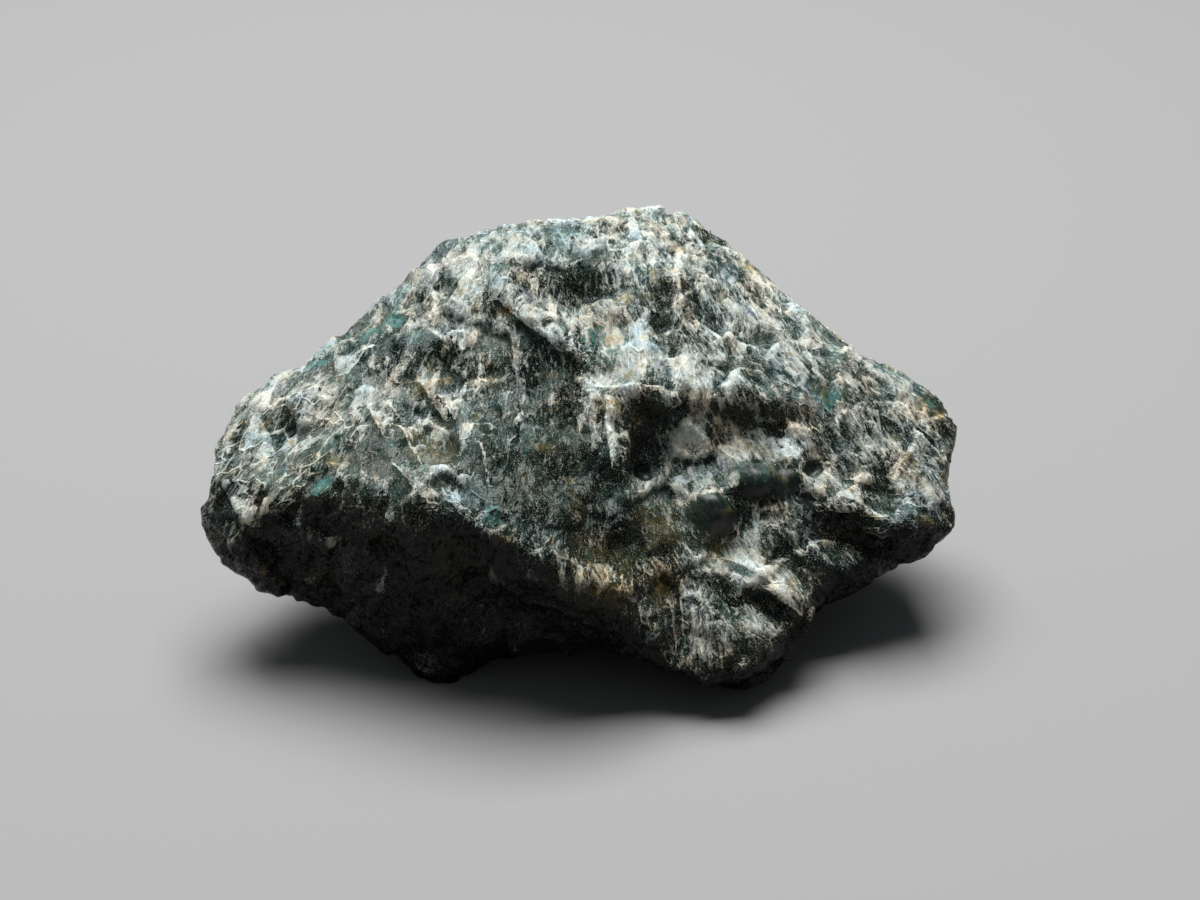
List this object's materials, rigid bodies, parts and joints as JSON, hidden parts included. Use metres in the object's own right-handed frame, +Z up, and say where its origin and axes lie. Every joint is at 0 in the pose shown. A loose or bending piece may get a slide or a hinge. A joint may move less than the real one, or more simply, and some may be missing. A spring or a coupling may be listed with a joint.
{
  "type": "grandidierite crystal",
  "caption": "Rough blocky crystal of dark blue-green grandidierite with a high crest, a sloping shoulder, an overhanging brow and low feet that it rests on.",
  "frame": {"origin": "under the middle of the crystal, in the plane that its feet rest on", "axes": "+X along the crystal to the right, +Y to the back and +Z up from the resting plane"},
  "size_m": [0.025, 0.0158, 0.0128],
  "materials": {
    "crystal": "rough broken mineral, dark blue-green with pale silky fibres, small glassy grains and ochre stains"
  },
  "bodies": {
    "root": {"grandidierite_crystal": "crystal"}
  },
  "joints": []
}
